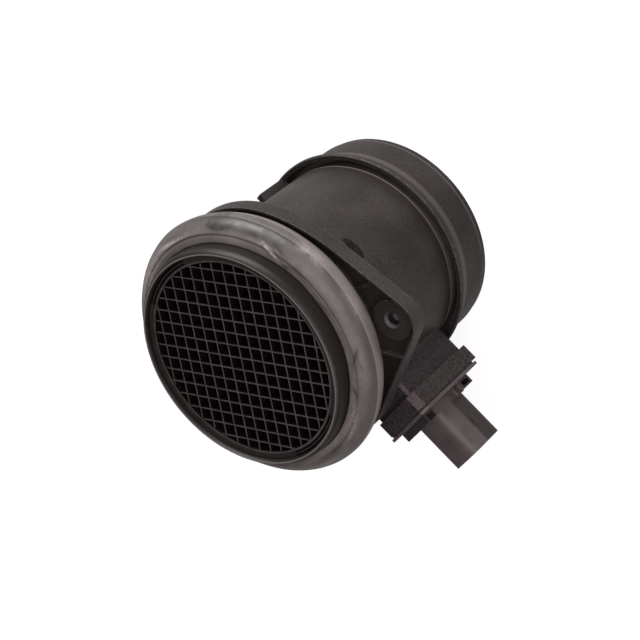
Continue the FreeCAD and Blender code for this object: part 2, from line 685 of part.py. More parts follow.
def make_carrier(pins, leads):
    """Module moulding: plate, block, connector shroud, spigot and probe with its two chambers."""
    body = new_body("carrier_body")
    z = d.module_z
    foot = new_sketch(body, "foot", "YZ_Plane", -pad_face)
    draw_outline(foot, rectangle(d.pad_wide / 2 - d.foot_inset, d.pad_long / 2 - d.foot_inset, z))
    extrude(body, foot, "Pad", d.foot_thick, reverse=True)
    plate = new_sketch(body, "plate", "YZ_Plane", -plate_back)
    draw_outline(plate, chamfered(d.pad_wide / 2 + d.plate_over, d.pad_long / 2 + d.plate_over,
                                  d.pad_corner, z))
    extrude(body, plate, "Pad", d.plate_thick, reverse=True)
    block = new_sketch(body, "block", "YZ_Plane", -plate_face)
    draw_outline(block, rectangle(d.block_wide / 2, d.block_long / 2, block_z))
    extrude(body, block, "Pad", d.block_high, reverse=True)
    plug = new_sketch(body, "plug", "YZ_Plane", -plate_face)
    draw_outline(plug, *rounded(d.plug_wide / 2, d.plug_long / 2, d.plug_corner, plug_z))
    extrude(body, plug, "Pad", plug_end - plate_face, reverse=True)
    cavity = new_sketch(body, "plug_cavity", "YZ_Plane", -plug_end)
    draw_outline(cavity, *rounded(d.plug_wide / 2 - d.plug_wall, d.plug_long / 2 - d.plug_wall,
                                  d.plug_corner - d.plug_wall, plug_z))
    extrude(body, cavity, "Pocket", d.plug_deep)

    # The recesses open on the block's side, and the one nearest the inlet also on its face.
    low = block_z - d.block_long / 2 + d.recess_wall
    high = block_z + d.block_long / 2 - d.recess_wall
    plug_low = plug_z - d.plug_long / 2 - d.recess_wall
    plug_high = plug_z + d.plug_long / 2 + d.recess_wall
    back = -(plate_face + d.recess_wall)
    front = -(block_face - d.recess_wall)
    recess = new_sketch(body, "recess", "XZ_Plane", d.block_wide / 2)
    draw_outline(recess, [(front, low), (back, low), (back, plug_low), (front, plug_low)])
    draw_outline(recess, [(-block_face, plug_high), (back, plug_high), (back, high),
                          (-block_face, high)])
    extrude(body, recess, "Pocket", d.recess_deep, reverse=True)

    guide = new_sketch(body, "guide", "XZ_Plane", d.plug_wide / 2 - d.guide_thick)
    for index in range(2):
        near = plug_z - d.guide_drop - d.guide_space * float(index)
        draw_outline(guide, [(-(plate_face + d.guide_long), near - d.guide_thick),
                             (-plate_face, near - d.guide_thick), (-plate_face, near),
                             (-(plate_face + d.guide_long), near)])
    extrude(body, guide, "Pad", d.guide_out + d.guide_thick)
    nub = new_sketch(body, "nub", "XZ_Plane", d.plug_wide / 2 - d.guide_thick)
    nub_x = -(plug_end - d.nub_back)
    nub_low = plug_z - d.nub_drop - d.nub_wide / 2
    draw_outline(nub, [(nub_x, nub_low), (nub_x + d.nub_long, nub_low),
                       (nub_x + d.nub_long, nub_low + d.nub_wide), (nub_x, nub_low + d.nub_wide)])
    extrude(body, nub, "Pad", d.nub_out + d.guide_thick)

    spigot = new_sketch(body, "spigot", "YZ_Plane", -pad_face)
    half_y = d.socket_wide / 2 - d.socket_gap
    half_z = d.socket_long / 2 - d.socket_gap
    draw_outline(spigot, rectangle(half_y, half_z, z))
    extrude(body, spigot, "Pad", pad_face - spigot_end)
    probe = new_sketch(body, "probe", "YZ_Plane", -spigot_end)
    draw_outline(probe, rounded_probe())
    extrude(body, probe, "Pad", spigot_end + d.probe_tip)

    ring_room = new_sketch(body, "ring_room", "YZ_Plane", -ring_back)
    draw_outline(ring_room, rectangle(d.socket_wide, d.socket_long, z))
    draw_outline(ring_room, rectangle(half_y + d.socket_gap - d.ring_thick,
                                      half_z + d.socket_gap - d.ring_thick, z))
    extrude(body, ring_room, "Pocket", d.ring_long)

    side = d.probe_wide / 2
    deep = d.probe_wide - d.chamber_floor
    chamber = new_sketch(body, "chamber", "XZ_Plane", -side)
    draw_outline(chamber, chamber_outline(0.0))
    extrude(body, chamber, "Pocket", deep)
    lap = new_sketch(body, "chamber_lap", "XZ_Plane", -side)
    draw_outline(lap, chamber_outline(d.cover_lap))
    extrude(body, lap, "Pocket", d.cover_thick)
    channel = new_sketch(body, "channel", "XZ_Plane", -side)
    draw_outline(channel, channel_outline())
    extrude(body, channel, "Pocket", deep)
    channel_lap = new_sketch(body, "channel_lap", "XZ_Plane", -side)
    draw_outline(channel_lap, channel_lap_outline(0.0))
    extrude(body, channel_lap, "Pocket", d.cover_thick)

    passages = [tongue_shape("tongue_slot", d.tongue_gap)] + list(pins) + list(leads)
    return cut("sensor_carrier", body, fused("carrier_passages", passages))


def rounded_probe():
    """The probe's section: a slab with cut edges, so that the air parts round it."""
    return chamfered(d.probe_wide / 2, d.probe_long / 2, d.cover_thick / 2, d.module_z)


# Places inside the probe, shared by the chambers and what fills them.
probe_side = d.probe_wide / 2
chamber_bed = d.chamber_floor - probe_side
base_top = chamber_bed + d.base_thick
board_top = base_top + d.board_thick
chamber_low = d.module_z - d.chamber_long / 2
chamber_high = d.module_z + d.chamber_long / 2
probe_low = d.module_z - d.probe_long / 2
probe_high = d.module_z + d.probe_long / 2
run_one = (d.probe_tip - d.channel_edge - d.channel_wide, d.probe_tip - d.channel_edge)
run_two = (run_one[0] - d.channel_web - d.channel_wide, run_one[0] - d.channel_web)
channel_low = probe_low + d.channel_back
channel_stop = probe_high - d.channel_stop


def chamber_outline(grow):
    return [(-(chamber_out + grow), chamber_low - grow), (grow - d.chamber_in, chamber_low - grow),
            (grow - d.chamber_in, chamber_high + grow), (-(chamber_out + grow), chamber_high + grow)]


def channel_outline():
    """The measuring channel: in from the inlet side, round one bend, and back to its vent."""
    turn = channel_low + d.channel_wide
    return [(run_one[1], channel_low), (run_one[1], probe_high), (run_one[0], probe_high),
            (run_one[0], turn), (run_two[1], turn), (run_two[1], channel_stop),
            (run_two[0], channel_stop), (run_two[0], channel_low)]


def channel_lap_outline(inset):
    """The room for the channel's cover, set in by a clearance for the cover itself."""
    low = channel_low - d.cover_lap + inset
    left = run_two[0] - d.cover_lap + inset
    right = run_one[1] + d.cover_lap - inset
    high = probe_high - d.cover_lap - inset
    return [(left, low), (right, low), (right, high), (left, high)]


def make_cover(name, outline, vent=None):
    """A flat cover flush with the probe's side, with a vent where the channel ends."""
    body = new_body(name)
    sketch = new_sketch(body, name + "_outline", "XZ_Plane", -probe_side)
    draw_outline(sketch, outline)
    if vent:
        draw_outline(sketch, vent)
    extrude(body, sketch, "Pad", d.cover_thick)
    return body


def tongue_shape(name, grow=0.0):
    """The tongue that carries the sensor element, or its slot where it is grown by a clearance."""
    half = d.tongue_wide / 2 + grow
    start = -(d.chamber_in + d.base_inset + d.tongue_lap)
    stop = run_two[0] + d.tongue_free + grow
    return solid_box(name, (start, base_top - grow, d.module_z - half),
                     (stop, board_top + grow, d.module_z + half))


def make_electronics():
    """Base plate, circuit board and what is mounted on them, bottom to top in the chamber."""
    inset = d.base_inset
    out, inn = -(chamber_out - inset), -(d.chamber_in + inset)
    low, high = chamber_low + inset, chamber_high - inset
    out = -(pin_root - d.board_inset)
    solid_box("base_plate", (out, chamber_bed, low), (inn, base_top, high))
    board_in = inn - d.tongue_lap - d.board_gap
    edge = d.board_inset
    solid_box("circuit_board", (out + edge, base_top, low + edge), (board_in, board_top, high - edge))
    middle = (out + edge + board_in) / 2
    half = d.chip_side / 2
    solid_box("evaluation_chip", (middle - half, board_top, d.module_z - half),
              (middle + half, board_top + d.chip_thick, d.module_z + half))
    for index in range(3):
        along = middle + d.capacitor_pitch * float(index - 1)
        across = d.module_z + d.chip_side
        solid_box(
            "capacitor_%d" % (index + 1), (along - d.capacitor_wide / 2, board_top, across),
            (along + d.capacitor_wide / 2, board_top + d.capacitor_wide, across + d.capacitor_long))
    tongue_shape("element_tongue")
    tip = run_two[0] + d.tongue_free
    half = d.element_side / 2
    edge = (d.tongue_wide - d.element_side) / 4
    solid_box("sensor_element", (tip - edge - d.element_side, board_top, d.module_z - half),
              (tip - edge, board_top + d.element_thick, d.module_z + half))


def make_pins():
    pins = []
    count = int(d.pin_count.number)
    for index in range(count):
        place = plug_z + d.pin_pitch * (index - (count - 1) / 2.0)
        pins.append(solid_box(
            "terminal_pin_%d" % (index + 1),
            (-pin_tip, -d.pin_thick / 2, place - d.pin_wide / 2),
            (-pin_root, d.pin_thick / 2, place + d.pin_wide / 2)))
    return pins


def make_thermistor():
    """Air temperature bead on two bent leads that stand on the probe's side."""
    height = -(probe_side + d.bead_off)
    place = d.module_z + d.bead_shift
    leads = []
    for index, side in enumerate((1.0, -1.0)):
        root = -d.bead_at + d.lead_span * side
        near = -d.bead_at + d.bead_r * side
        start = near if side > 0 else root
        rise = solid_cylinder("lead_rise_%d" % (index + 1), d.lead_r, chamber_bed - height,
                              (root, height, place), Y)
        run = solid_cylinder("lead_run_%d" % (index + 1), d.lead_r, d.lead_span - d.bead_r,
                             (start, height, place), X)
        bend = doc.addObject("Part::Sphere", "lead_bend_%d" % (index + 1))
        bind(bend, "Radius", d.lead_r)
        for word, size in (("x", root), ("y", height), ("z", place)):
            bind(bend, "Placement.Base." + word, size)
        leads.append(fused("thermistor_lead_%d" % (index + 1), [rise, run, bend]))
    bead = doc.addObject("Part::Sphere", "bead_ball")
    bind(bead, "Radius", d.bead_r)
    for word, size in (("x", -d.bead_at), ("y", height), ("z", place)):
        bind(bead, "Placement.Base." + word, size)
    cut("thermistor_bead", bead, fused("bead_passages", list(leads)))
    return leads


def make_ring():
    """Seal ring of the module, in its groove on the spigot and against the socket's wall."""
    body = new_body("module_seal_ring")
    sketch = new_sketch(body, "ring_section", "YZ_Plane", -ring_back)
    half_y = d.socket_wide / 2
    half_z = d.socket_long / 2
    draw_outline(sketch, rectangle(half_y, half_z, d.module_z))
    draw_outline(sketch, rectangle(half_y - d.ring_thick, half_z - d.ring_thick, d.module_z))
    extrude(body, sketch, "Pad", d.ring_long)
    return body


NODES = ["housing", "inlet_grid", "inlet_seal", "sensor_carrier", "electronics_cover", "channel_cover",
         "module_seal_ring", "base_plate", "circuit_board", "evaluation_chip", "capacitor_1",
         "capacitor_2", "capacitor_3",
         "element_tongue", "sensor_element", "thermistor_bead", "thermistor_lead_1",
         "thermistor_lead_2"]


def main():
    make_housing()
    make_grid()
    make_seal()
    pins = make_pins()
    leads = make_thermistor()
    make_carrier(pins, leads)
    make_cover("electronics_cover", chamber_outline(d.cover_lap - d.cover_gap))
    vent_top = channel_stop - d.cover_lap
    make_cover("channel_cover", channel_lap_outline(d.cover_gap),
               [(run_two[0], vent_top - d.vent_long), (run_two[1], vent_top - d.vent_long),
                (run_two[1], vent_top), (run_two[0], vent_top)])
    make_ring()
    make_electronics()
    doc.recompute()
    for thing in doc.Objects:
        if "Invalid" in thing.State or "Error" in thing.State:
            raise RuntimeError("%s failed: %s" % (thing.Label, thing.State))
    names = NODES + [pin.Name for pin in pins]
    os.makedirs("parts", exist_ok=True)
    for name in names:
        shape = doc.getObject(name).Shape
        if shape.isNull() or not shape.isValid():
            raise RuntimeError("%s has no valid shape" % name)
        shape.exportStep(os.path.join("parts", name + ".step"))
        box = shape.BoundBox
        print("%-20s solids %d volume %9.1f  x %6.1f %6.1f  y %6.1f %6.1f  z %6.1f %6.1f" % (
            name, len(shape.Solids), shape.Volume, box.XMin, box.XMax, box.YMin, box.YMax,
            box.ZMin, box.ZMax))


main()
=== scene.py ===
import json
import math

import bpy
import numpy as np
from mathutils import Matrix, Vector


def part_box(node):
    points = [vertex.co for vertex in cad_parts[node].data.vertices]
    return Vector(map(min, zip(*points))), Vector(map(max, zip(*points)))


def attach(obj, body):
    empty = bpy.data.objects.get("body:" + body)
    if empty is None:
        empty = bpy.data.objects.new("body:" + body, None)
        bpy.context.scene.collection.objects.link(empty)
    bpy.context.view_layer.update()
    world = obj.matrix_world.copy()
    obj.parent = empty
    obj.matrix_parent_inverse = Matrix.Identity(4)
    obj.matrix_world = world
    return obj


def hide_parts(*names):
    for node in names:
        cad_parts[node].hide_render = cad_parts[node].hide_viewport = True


# Mass airflow sensor: finishes for the moulded pieces, the rubber inlet seal, camera, floor and light.
# Lengths are in metres, in the row's frame: +Z along the duct towards the inlet grid, -X to the plug.
# Only the rubber ring's section, waves and marks are in millimetres, with heights from the ring's back.
# Angles are in degrees about the duct's axis, from the locating tab's direction.

MM = 0.001

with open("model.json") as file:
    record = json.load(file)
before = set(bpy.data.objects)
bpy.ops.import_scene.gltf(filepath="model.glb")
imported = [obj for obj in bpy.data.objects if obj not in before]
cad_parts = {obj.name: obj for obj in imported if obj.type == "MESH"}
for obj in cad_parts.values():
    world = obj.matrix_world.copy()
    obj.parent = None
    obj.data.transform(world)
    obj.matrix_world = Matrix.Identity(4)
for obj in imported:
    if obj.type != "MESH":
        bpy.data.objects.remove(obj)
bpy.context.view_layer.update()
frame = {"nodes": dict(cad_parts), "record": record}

# Heights of the seal's back and of the inlet collar's end, from the frame's own nodes.
SEAL_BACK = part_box("inlet_seal")[0].z
INLET_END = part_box("housing")[1].z

# Inlet: radius of the painted highlight line on the collar's rim, where round it the rim's top takes
# a weaker painted highlight, height of the grid bars' front, radius of their opening, and how far up
# the tube's finish becomes the collar's.
RIM_R = 44.0 * MM
RIM_TOP_ANGLE = -150.0
RIM_TOP_TURN = 40.0
GRID_BARS = 108.0 * MM
BARS_R = 40.6 * MM
COLLAR_FADE = 3.0 * MM

# Tube: its radius, and the side on which it grows darker from one height down to another.
TUBE_R = 42.9 * MM
DARK_SIDE_ANGLE = -112.0
DARK_SIDE_TURN = 20.0
DARK_SIDE_TOP = 62.0 * MM
DARK_SIDE_LOW = 46.0 * MM

# Dark stain on the tube: its middle, and its half sizes round and along the tube.
STAIN_ANGLE = -90.0
STAIN_HEIGHT = 67.2 * MM
STAIN_TURN = 7.5
STAIN_TALL = 2.5 * MM

# Outlet spigot: open end and inner radius of its collar, how far down the groove between collar and
# tube takes painted light, and the height of the step at the rim, whose edge takes a painted highlight.
COLLAR_OPEN = 25.3 * MM
COLLAR_R = 46.0 * MM
GROOVE_LIGHT_DEPTH = 9.0 * MM
OUTLET_STEP = 3.3 * MM

# Tower, from its outer side and lower end to the flange, and the two bolt holes in the flange.
TOWER_SIDE = -44.0 * MM
TOWER_LOW = 30.4 * MM
FLANGE_BACK = 77.9 * MM
BOLT_X = 30.07 * MM
BOLT_Y = 45.09 * MM
BOLT_HOLE_R = 2.3 * MM
COUNTERSINK_R = 3.0 * MM

# Module: the block between the plate and the shroud, the shroud's middle height and half length.
BLOCK_BACK = -62.3 * MM
BLOCK_FRONT = -66.1 * MM
PLUG_Z = 51.15 * MM
PLUG_HALF = 10.2 * MM

# Base colours of the mouldings and the ring.
HOUSING_TONE = (0.030, 0.0256, 0.0247)
MODULE_TONE = (0.092, 0.075, 0.077)
TOWER_TONE = (0.038, 0.030, 0.031)
GRID_TONE = (0.006, 0.004, 0.004)
DUST_TONE = (0.105, 0.095, 0.092)
# The pale tone of worn edges, also used for the housing's painted highlight lines.
WEAR_AND_HIGHLIGHT_TONE = (0.185, 0.172, 0.168)
RUBBER_TONE = (0.178, 0.163, 0.158)
FLOOR_TONE = (0.5, 0.5, 0.5)

# Floor and camera. The camera has the photograph's angle: its place, lens and own axes.
FLOOR_SIDE = 6.0
FLOOR_GLOW = 0.80
FLOOR_MIRRORED = 0.15
CAMERA_PLACE = Vector((-68.98, -504.22, 562.29)) * MM
CAMERA_LENS = 102.12
CAMERA_SENSOR = 36.0
CAMERA_NEAR = 0.01
CAMERA_FAR = 20.0
CAMERA_RIGHT = Vector((-0.6933, -0.4621, -0.5530))
CAMERA_UP = Vector((0.7155, -0.5331, -0.4515))
CAMERA_BACK = Vector((-0.0862, -0.7087, 0.7003))

# Soft lamps: name, direction from the sensor, width, height, power and tint.
KEY_TINT = (1.0, 0.965, 0.94)
FRONT_TINT = (1.0, 0.90, 0.905)
LAMPS = [
    ("key_softbox", Vector((0.85, -0.50, 0.17)), 1.0, 0.34, 15.0, KEY_TINT),
    ("front_softbox", CAMERA_BACK, 0.8, 0.8, 6.0, FRONT_TINT),
    ("fill_softbox", Vector((-0.75, -0.25, 0.60)), 0.5, 0.5, 3.2, FRONT_TINT),
]
LAMP_AIM = Vector((0.0, 0.0, 55.0)) * MM
LAMP_DISTANCE = 1.2

# World: its tint, its light on the sensor, and how bright the camera sees it.
WORLD_TINT = (1.0, 0.95, 0.95)
WORLD_LIGHT = 0.13
WORLD_SEEN = 1.1

# Section of the rubber ring: (radius, height above its back, bulge radius of the side that follows).
SEAL_SECTION = [
    (43.0, 0.0, 0.0),
    (45.4, 0.0, 0.0),
    (51.7, 1.2, 14.0),
    (54.5, 8.5, 9.0),
    (49.35, 15.1, 0.0),
    (48.9, 14.65, 0.0),
    (48.45, 15.1, 0.0),
    (45.8, 15.2, 0.0),
    (45.8, 12.9, 0.0),
    (43.0, 12.9, 0.0),
]
CREASE_R = 48.9

# The section is drawn with this many points to a side, and its corners are then softened.
SIDE_STEPS = 40
CORNER_SOFTNESS = 0.28

# Points of the ring's surface round the duct and round its section.
RING_STEPS = 640
SECTION_STEPS = 132

# The ring's surface moves only beyond this radius and height, and to the full after SEAL_FADE. Dents
# and marks lie on the front, above FRONT_HEIGHT, and the lip rises from LIP_HEIGHT.
HELD_R = 46.2
HELD_HEIGHT = 1.0
SEAL_FADE = 1.5
FRONT_HEIGHT = 6.0
LIP_HEIGHT = 13.0

# Moulding line on the ring's outer edge: height, least radius and depth.
EDGE_HEIGHT = 9.65
EDGE_R = 52.0
EDGE_DEPTH = 0.12

# The ring's side takes a painted highlight, beyond this radius and from SIDE_LOW up to SIDE_TOP. From
# there on its face takes painted shade, most of all at SHADE_HEIGHT.
SIDE_R = 50.0
SIDE_LOW = 3.0
SIDE_TOP = 9.5
SHADE_HEIGHT = 9.6

# Low waves of the ring: height, number round the ring and phase. The whole surface is set in a little.
WAVES = [(0.05, 3, 0.7), (0.04, 7, 2.1), (0.02, 17, 4.0)]
WAVES_SET_IN = 0.03

# Soft spots on the ring: strength, angle, radius, width in degrees round the ring, height across it,
# and the degrees by which the spot leans for each millimetre outwards.
DENTS = [
    # The lifted fold and the hollow beside it.
    (0.55, -68.5, 49.2, 1.3, 1.0, 2.4),
    (-0.6, -71.5, 49.0, 1.2, 1.0, 2.0),
    # Two small lumps.
    (0.4, -78.0, 47.6, 1.0, 0.7, 0.0),
    (0.3, -101.5, 47.3, 1.2, 0.7, 0.0),
    # Two nicks and a shallow dent.
    (-0.45, -129.0, 49.6, 1.1, 0.7, 2.0),
    (-0.4, -146.0, 47.8, 1.4, 0.6, -1.5),
    (-0.5, -10.0, 51.4, 3.5, 0.8, 2.5),
]
LIP_RISES = [
    (0.6, -48.0, 46.5, 18.0, 2.0, 0.0),
    (-0.45, -84.0, 46.5, 8.0, 1.6, 0.0),
    (-0.5, -124.0, 46.5, 10.0, 1.6, 0.0),
    (0.5, -158.0, 46.5, 12.0, 2.0, 0.0),
]
SMUDGES = [
    (2.6, -41.0, 52.5, 3.8, 1.2, 0.0),
    (0.85, -60.0, 52.2, 9.0, 1.7, 0.0),
    (0.5, -29.0, 54.2, 5.0, 0.9, 0.0),
    (0.35, -55.0, 53.4, 7.0, 1.2, 0.0),
    (0.55, -73.0, 51.0, 2.0, 0.8, 3.0),
    (0.6, -72.0, 53.6, 4.0, 0.7, 0.0),
    (0.6, -78.0, 47.2, 1.6, 0.7, 0.0),
    (0.5, -84.0, 48.5, 4.0, 0.4, 0.0),
    (0.4, -102.0, 47.2, 4.0, 0.6, 0.0),
    (0.25, -100.0, 52.6, 14.0, 1.4, 0.0),
    (0.8, -129.0, 49.6, 1.0, 1.3, 2.0),
    (0.5, -133.0, 51.2, 1.4, 0.7, -3.0),
    (0.8, -146.0, 47.8, 1.2, 1.0, -1.5),
    (0.4, -160.0, 50.2, 10.0, 1.6, 0.0),
    (0.5, 172.0, 49.8, 10.0, 1.0, 0.0),
    (0.35, 30.0, 51.5, 22.0, 1.6, 0.0),
]
SCUFFS = [
    (0.7, -9.0, 50.8, 3.2, 0.45, 2.5),
    (0.6, -16.0, 50.2, 5.0, 0.4, 0.0),
    (0.5, -86.0, 54.2, 3.0, 0.5, 3.0),
    (0.5, -80.0, 54.3, 1.6, 0.6, -2.0),
    (0.4, -108.0, 54.2, 5.0, 0.4, 2.0),
    (0.7, -68.0, 49.4, 0.8, 1.1, 2.4),
    (0.35, -64.0, 50.2, 6.0, 0.5, 0.0),
    (0.4, 165.0, 52.0, 8.0, 0.5, 0.0),
    (0.5, -160.0, 48.6, 8.0, 1.5, 0.0),
    (0.45, -168.0, 50.2, 5.0, 0.5, -2.5),
    (0.5, 176.0, 46.4, 9.0, 1.0, 0.0),
    (0.40, 158.0, 49.0, 7.0, 0.5, -2.0),
    (0.9, 14.0, 49.5, 12.0, 1.8, 0.0),
]


def tone(colour, level=1.0):
    """The colour made darker or paler by a factor, with its fourth number."""
    return (*[part * level for part in colour], 1.0)


class Finish:
    """A node material: one Principled shader, with short calls that add pattern nodes before it."""

    def __init__(self, name, colour, roughness):
        self.material = bpy.data.materials.new(name)
        self.material.use_nodes = True
        self.material.diffuse_color = tone(colour)
        self.tree = self.material.node_tree
        self.shader = self.tree.nodes["Principled BSDF"]
        self.set("Base Color", tone(colour))
        self.set("Roughness", roughness)
        self.point = self.node("ShaderNodeTexCoord").outputs["Object"]

    def node(self, kind, **settings):
        """A new node with its own settings, such as operation='ADD'."""
        made = self.tree.nodes.new(kind)
        for setting, value in settings.items():
            setattr(made, setting, value)
        return made

    def feed(self, socket, value):
        """Links an output to a socket, or writes a plain number or colour into it."""
        if isinstance(value, bpy.types.NodeSocket):
            self.tree.links.new(value, socket)
        else:
            socket.default_value = value

    def set(self, socket, value):
        """Feeds a socket of the shader itself."""
        self.feed(self.shader.inputs[socket], value)

    def math(self, operation, first, second=0.0):
        """One operation on masks, coordinates or numbers."""
        made = self.node("ShaderNodeMath", operation=operation)
        self.feed(made.inputs[0], first)
        self.feed(made.inputs[1], second)
        return made.outputs[0]

    def times(self, first, *others):
        """Product of masks and numbers."""
        product = first
        for value in others:
            product = self.math("MULTIPLY", product, value)
        return product

    def most(self, first, *others):
        """The largest of some masks and numbers."""
        largest = first
        for value in others:
            largest = self.math("MAXIMUM", largest, value)
        return largest

    def minus(self, first, second):
        return self.math("SUBTRACT", first, second)

    def length(self, across, along):
        """Length of the line that goes so far across and so far along."""
        squares = self.math("ADD", self.times(across, across), self.times(along, along))
        return self.math("SQRT", squares)

    def ramp(self, value, start, end, low=0.0, high=1.0):
        """value from start to end becomes low to high, smoothly and no further."""
        made = self.node("ShaderNodeMapRange", interpolation_type="SMOOTHSTEP")
        self.feed(made.inputs["Value"], value)
        made.inputs["From Min"].default_value = start
        made.inputs["From Max"].default_value = end
        made.inputs["To Min"].default_value = low
        made.inputs["To Max"].default_value = high
        return made.outputs["Result"]

    def band(self, value, middle, half):
        """1 within half of middle, soft at its edges."""
        away = self.math("ABSOLUTE", self.minus(value, middle))
        return self.ramp(away, half * 0.6, half * 1.4, 1.0, 0.0)

    def noise(self, size, detail=2.0, roughness=0.5, stretch=(1.0, 1.0, 1.0)):
        """Cloudy pattern whose patches are about size across, drawn out along an axis by stretch."""
        mapping = self.node("ShaderNodeMapping")
        self.feed(mapping.inputs["Vector"], self.point)
        mapping.inputs["Scale"].default_value = [1.0 / drawn for drawn in stretch]
        made = self.node("ShaderNodeTexNoise")
        self.feed(made.inputs["Vector"], mapping.outputs["Vector"])
        made.inputs["Scale"].default_value = 1.0 / size
        made.inputs["Detail"].default_value = detail
        made.inputs["Roughness"].default_value = roughness
        return made.outputs["Fac"]

    def lines(self, value, size):
        """Streaks about size wide that follow lines of equal value."""
        made = self.node("ShaderNodeTexNoise", noise_dimensions="1D")
        self.feed(made.inputs["W"], value)
        made.inputs["Scale"].default_value = 1.0 / size
        made.inputs["Detail"].default_value = 2.0
        return made.outputs["Fac"]

    def mix(self, factor, first, second):
        """first where factor is 0, second where it is 1."""
        made = self.node("ShaderNodeMix", data_type="RGBA")
        self.feed(made.inputs["Factor"], factor)
        self.feed(made.inputs["A"], first)
        self.feed(made.inputs["B"], second)
        return made.outputs["Result"]

    def clouded(self, clouds, colour):
        """The colour, a little darker and paler by turns."""
        return self.mix(self.ramp(clouds, 0.35, 0.65), tone(colour, 0.86), tone(colour, 1.12))

    def part(self, vector, letter):
        """One coordinate of a vector."""
        made = self.node("ShaderNodeSeparateXYZ")
        self.feed(made.inputs["Vector"], vector)
        return made.outputs[letter]

    def axis(self, letter):
        """One coordinate of the point on the object."""
        return self.part(self.point, letter)

    def normal(self):
        """The surface's own normal."""
        return self.node("ShaderNodeNewGeometry").outputs["Normal"]

    def facing(self, letter):
        """One coordinate of the surface's own normal."""
        return self.part(self.normal(), letter)

    def radius(self):
        """Distance from the duct's axis."""
        return self.length(self.axis("X"), self.axis("Y"))

    def angle(self):
        """Turn about the duct's axis from the locating tab's direction, in degrees from -180 to 180."""
        turn = self.math("ARCTAN2", self.axis("Y"), self.axis("X"))
        return self.times(turn, 180.0 / math.pi)

    def painted(self, name):
        """Number that was stored for each vertex under this name."""
        return self.node("ShaderNodeAttribute", attribute_name=name).outputs["Fac"]

    def rounded_edge(self, radius):
        """Normal that turns smoothly round a sharp edge, as a moulded edge does."""
        made = self.node("ShaderNodeBevel", samples=6)
        made.inputs["Radius"].default_value = radius
        return made.outputs["Normal"]

    def edge_mask(self, rounded, sharpness=0.06):
        """1 along a sharp edge, from how far the rounded normal leaves the plain one."""
        made = self.node("ShaderNodeVectorMath", operation="DOT_PRODUCT")
        self.feed(made.inputs[0], rounded)
        self.feed(made.inputs[1], self.normal())
        return self.ramp(self.minus(1.0, made.outputs["Value"]), 0.0, sharpness)

    def bump(self, height, depth, normal=None, strength=1.0):
        """Normal of a surface whose pattern stands up by depth, on top of another normal."""
        made = self.node("ShaderNodeBump")
        self.feed(made.inputs["Height"], height)
        self.feed(made.inputs["Strength"], strength)
        made.inputs["Distance"].default_value = depth
        if normal is not None:
            self.feed(made.inputs["Normal"], normal)
        return made.outputs["Normal"]


